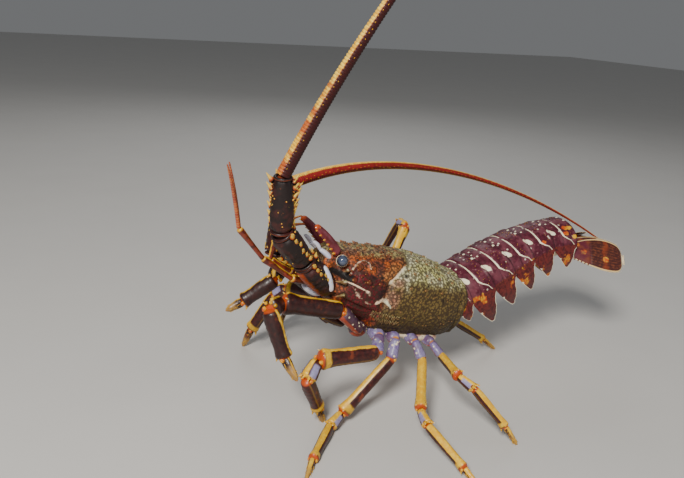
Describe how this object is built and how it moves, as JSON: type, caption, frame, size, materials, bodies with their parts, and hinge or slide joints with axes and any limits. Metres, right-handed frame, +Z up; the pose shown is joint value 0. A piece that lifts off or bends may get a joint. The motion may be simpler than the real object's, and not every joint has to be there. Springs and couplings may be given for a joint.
{
  "type": "life-size still model of a spiny lobster",
  "caption": "Life-size still model of a walking spiny lobster with whip antennae, spiny carapace, ten legs and a ringed tail ending in a fan.",
  "frame": {"origin": "on the floor plane, under the middle of the bounding box", "axes": "+Z up, the head points to -X, the animal's left side to -Y"},
  "size_m": [0.4782, 0.3284, 0.5616],
  "materials": {
    "carapace_shell": "satin, finely granular, olive and rust mottled",
    "tail_shell": "satin plum shell with cream furrows",
    "leg_shell": "satin maroon with yellow stripes",
    "antenna_shell": "satin orange red, ringed",
    "eye": "polished dark",
    "pale_shell": "matt cream"
  },
  "bodies": {
    "root": {"carapace": "carapace_shell", "sternum": "pale_shell", "eye_stalk_l": "pale_shell", "eye_l": "eye", "eye_stalk_r": "pale_shell", "eye_r": "eye", "antenna_l_joint_1": "antenna_shell", "antenna_l_joint_2": "antenna_shell", "antenna_l_joint_3": "antenna_shell", "antenna_l_whip_1": "antenna_shell", "antenna_l_whip_2": "antenna_shell", "antenna_l_whip_3": "antenna_shell", "antenna_r_joint_1": "antenna_shell", "antenna_r_joint_2": "antenna_shell", "antenna_r_joint_3": "antenna_shell", "antenna_r_whip_1": "antenna_shell", "antenna_r_whip_2": "antenna_shell", "antenna_r_whip_3": "antenna_shell", "antennule_l": "antenna_shell", "antennule_r": "antenna_shell", "mouth_leg_l": "leg_shell", "mouth_leg_r": "leg_shell", "leg_l1_upper": "leg_shell", "leg_l1_lower": "leg_shell", "leg_l2_upper": "leg_shell", "leg_l2_lower": "leg_shell", "leg_l3_upper": "leg_shell", "leg_l3_lower": "leg_shell", "leg_l4_upper": "leg_shell", "leg_l4_lower": "leg_shell", "leg_l5_upper": "leg_shell", "leg_l5_lower": "leg_shell", "leg_r1_upper": "leg_shell", "leg_r1_lower": "leg_shell", "leg_r2_upper": "leg_shell", "leg_r2_lower": "leg_shell", "leg_r3_upper": "leg_shell", "leg_r3_lower": "leg_shell", "leg_r4_upper": "leg_shell", "leg_r4_lower": "leg_shell", "leg_r5_upper": "leg_shell", "leg_r5_lower": "leg_shell", "tail_1": "tail_shell", "tail_2": "tail_shell", "tail_3": "tail_shell", "tail_4": "tail_shell", "tail_5": "tail_shell", "tail_6": "tail_shell", "tail_fan_middle": "tail_shell", "tail_fan_inner_l": "tail_shell", "tail_fan_outer_l": "tail_shell", "tail_fan_inner_r": "tail_shell", "tail_fan_outer_r": "tail_shell"}
  },
  "joints": []
}
